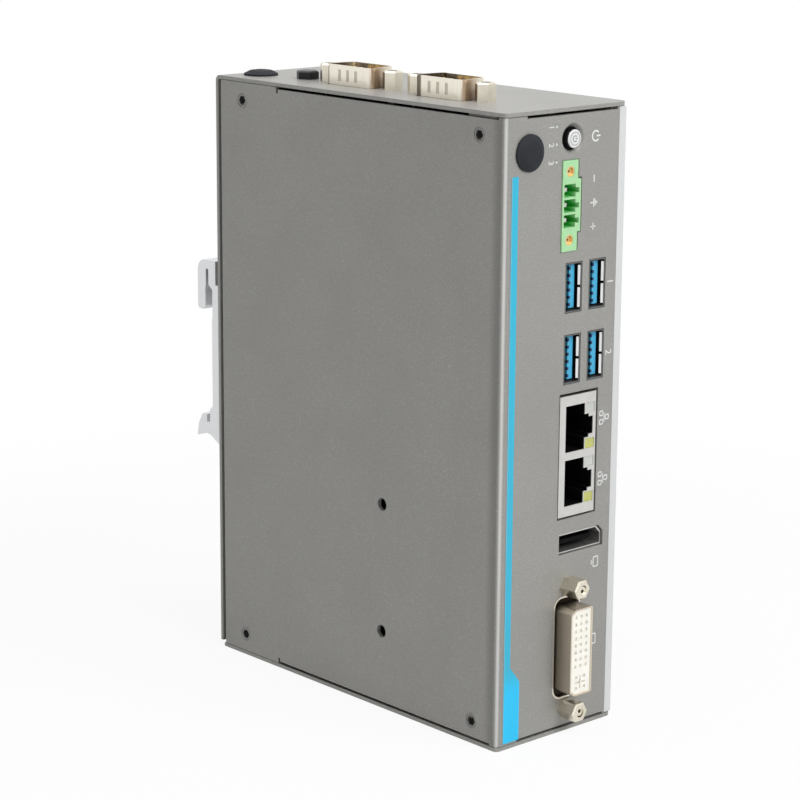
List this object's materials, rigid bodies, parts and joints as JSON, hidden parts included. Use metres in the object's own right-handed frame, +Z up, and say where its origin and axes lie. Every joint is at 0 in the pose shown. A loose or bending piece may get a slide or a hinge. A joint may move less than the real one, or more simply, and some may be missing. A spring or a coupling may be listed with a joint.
{
  "type": "fanless industrial pc",
  "caption": "Slim fanless industrial computer in a grey sheet-metal case with a finned side, front and top connectors, power button and DIN rail clip.",
  "frame": {"origin": "middle of the flat underside of the bottom plate", "axes": "+Z up as the computer hangs on its rail, -Y out of the front connector panel, +Y towards the DIN rail clip at the back, -X out of the plain side, +X out of the finned side"},
  "size_m": [0.043, 0.1291, 0.1683],
  "materials": {
    "painted_case": "fine-textured metallic grey powder coat",
    "bare_aluminium": "bright satin aluminium",
    "black_screw": "black oxide steel",
    "blue_film": "sky blue printed film",
    "black_rubber": "matt moulded rubber",
    "painted_stud": "powder-coated stud head",
    "white_button": "white moulded cap",
    "grey_screw": "grey coated steel",
    "white_plastic": "white moulded plastic",
    "black_plastic": "black moulded plastic",
    "blue_plastic": "blue moulded plastic",
    "clear_plastic": "clear moulded light pipe",
    "green_plastic": "green moulded plastic",
    "tinned_contact": "tinned contact",
    "brass_insert": "plain brass",
    "plated_shield": "bright plated steel sheet",
    "gold_contact": "gold plated contact",
    "clear_light": "frosted clear indicator",
    "yellow_light": "yellow indicator",
    "nickel_shell": "warm nickel plate",
    "nickel_screw": "warm nickel plate",
    "circuit_board": "green solder mask",
    "plated_screw": "zinc plated steel",
    "chip_black": "moulded chip package",
    "grey_pad": "soft silicone pad",
    "grey_ferrite": "ferrite block",
    "capacitor_can": "aluminium can",
    "module_green": "green circuit card",
    "cell_steel": "stainless cell can",
    "clip_aluminium": "natural anodised extrusion"
  },
  "bodies": {
    "housing": {"accent_stripe": "blue_film", "antenna_plug_front": "black_rubber", "antenna_plug_top": "black_rubber", "board_screws": "plated_screw", "board_standoffs": "brass_insert", "capacitors": "capacitor_can", "cell_holder": "black_plastic", "chassis_wrap": "painted_case", "chipset": "chip_black", "clinch_stud": "painted_stud", "clip_screws": "plated_screw", "coin_cell": "cell_steel", "cover_screws": "grey_screw", "din_clip": "clip_aluminium", "display_insulator": "black_plastic", "display_shell": "plated_shield", "dvi_insulator": "white_plastic", "dvi_jackscrews": "nickel_screw", "dvi_shell": "nickel_shell", "earth_screw": "black_screw", "front_side_cover": "painted_case", "heat_sink": "bare_aluminium", "lan_contacts": "gold_contact", "lan_insert": "black_plastic", "lan_lights_clear": "clear_light", "lan_lights_yellow": "yellow_light", "lan_shield": "plated_shield", "light_pipe": "clear_plastic", "main_board": "circuit_board", "memory_module": "module_green", "memory_socket": "black_plastic", "network_transformers": "chip_black", "power_inductors": "grey_ferrite", "power_switch": "black_plastic", "processor": "chip_black", "rear_screws": "black_screw", "serial_insulator_1": "black_plastic", "serial_insulator_2": "black_plastic", "serial_jackscrews": "nickel_screw", "serial_pins_1": "gold_contact", "serial_pins_2": "gold_contact", "serial_shell_1": "nickel_shell", "serial_shell_2": "nickel_shell", "storage_card": "module_green", "storage_screw": "plated_screw", "storage_socket": "black_plastic", "terminal_header": "green_plastic", "terminal_inserts": "brass_insert", "terminal_pins": "tinned_contact", "thermal_pad": "grey_pad", "usb_contacts_1": "gold_contact", "usb_contacts_2": "gold_contact", "usb_insulator_1": "blue_plastic", "usb_insulator_2": "blue_plastic", "usb_shell_1": "plated_shield", "usb_shell_2": "plated_shield"},
    "power_button": {"power_button_cap": "white_button", "switch_plunger": "white_plastic"}
  },
  "joints": [
    {"name": "power_button_press", "type": "slide", "parent": "housing", "child": "power_button", "axis": [0, 1, 0], "range_m": [0, 0.0005], "stiffness_N_per_m": 500, "springref_m": -0.001}
  ]
}
